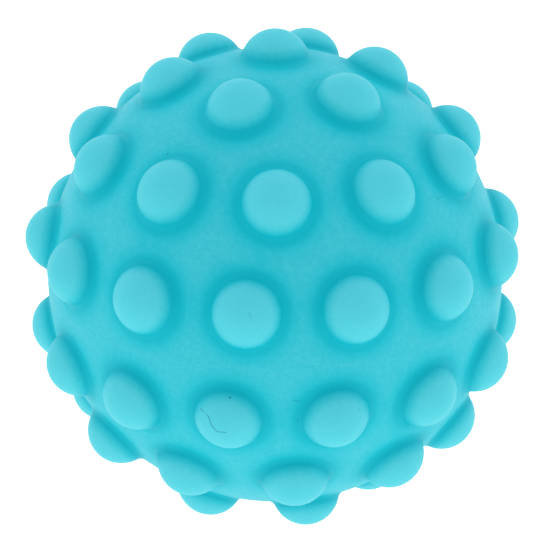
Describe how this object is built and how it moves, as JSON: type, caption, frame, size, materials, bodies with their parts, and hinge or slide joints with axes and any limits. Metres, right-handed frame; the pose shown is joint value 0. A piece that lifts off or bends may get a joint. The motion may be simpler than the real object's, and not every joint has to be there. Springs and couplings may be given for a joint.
{
  "type": "stress ball",
  "caption": "Round foam-filled stress ball with a nubbed rubber skin in two bonded halves; it is squeezed in the hand and springs back.",
  "frame": {"origin": "centre of the ball, in the plane of the seam", "axes": "+Z through the upper half's pole nub, at right angles to the seam; -Y towards the front"},
  "size_m": [0.073, 0.073, 0.075],
  "materials": {
    "skin": "matte soft-touch",
    "bond": "matte",
    "foam": "matte open-cell foam"
  },
  "bodies": {
    "lower_body": {"lower_half_shell": "skin", "seam_bond": "bond", "foam_core": "foam"},
    "upper_body": {"upper_half_shell": "skin"}
  },
  "joints": [
    {"name": "squeeze", "type": "slide", "parent": "lower_body", "child": "upper_body", "axis": [0, 0, -1], "range_m": [0, 0.02], "stiffness_N_per_m": 2000, "deforming": ["upper_half_shell", "lower_half_shell", "seam_bond", "foam_core"]}
  ]
}
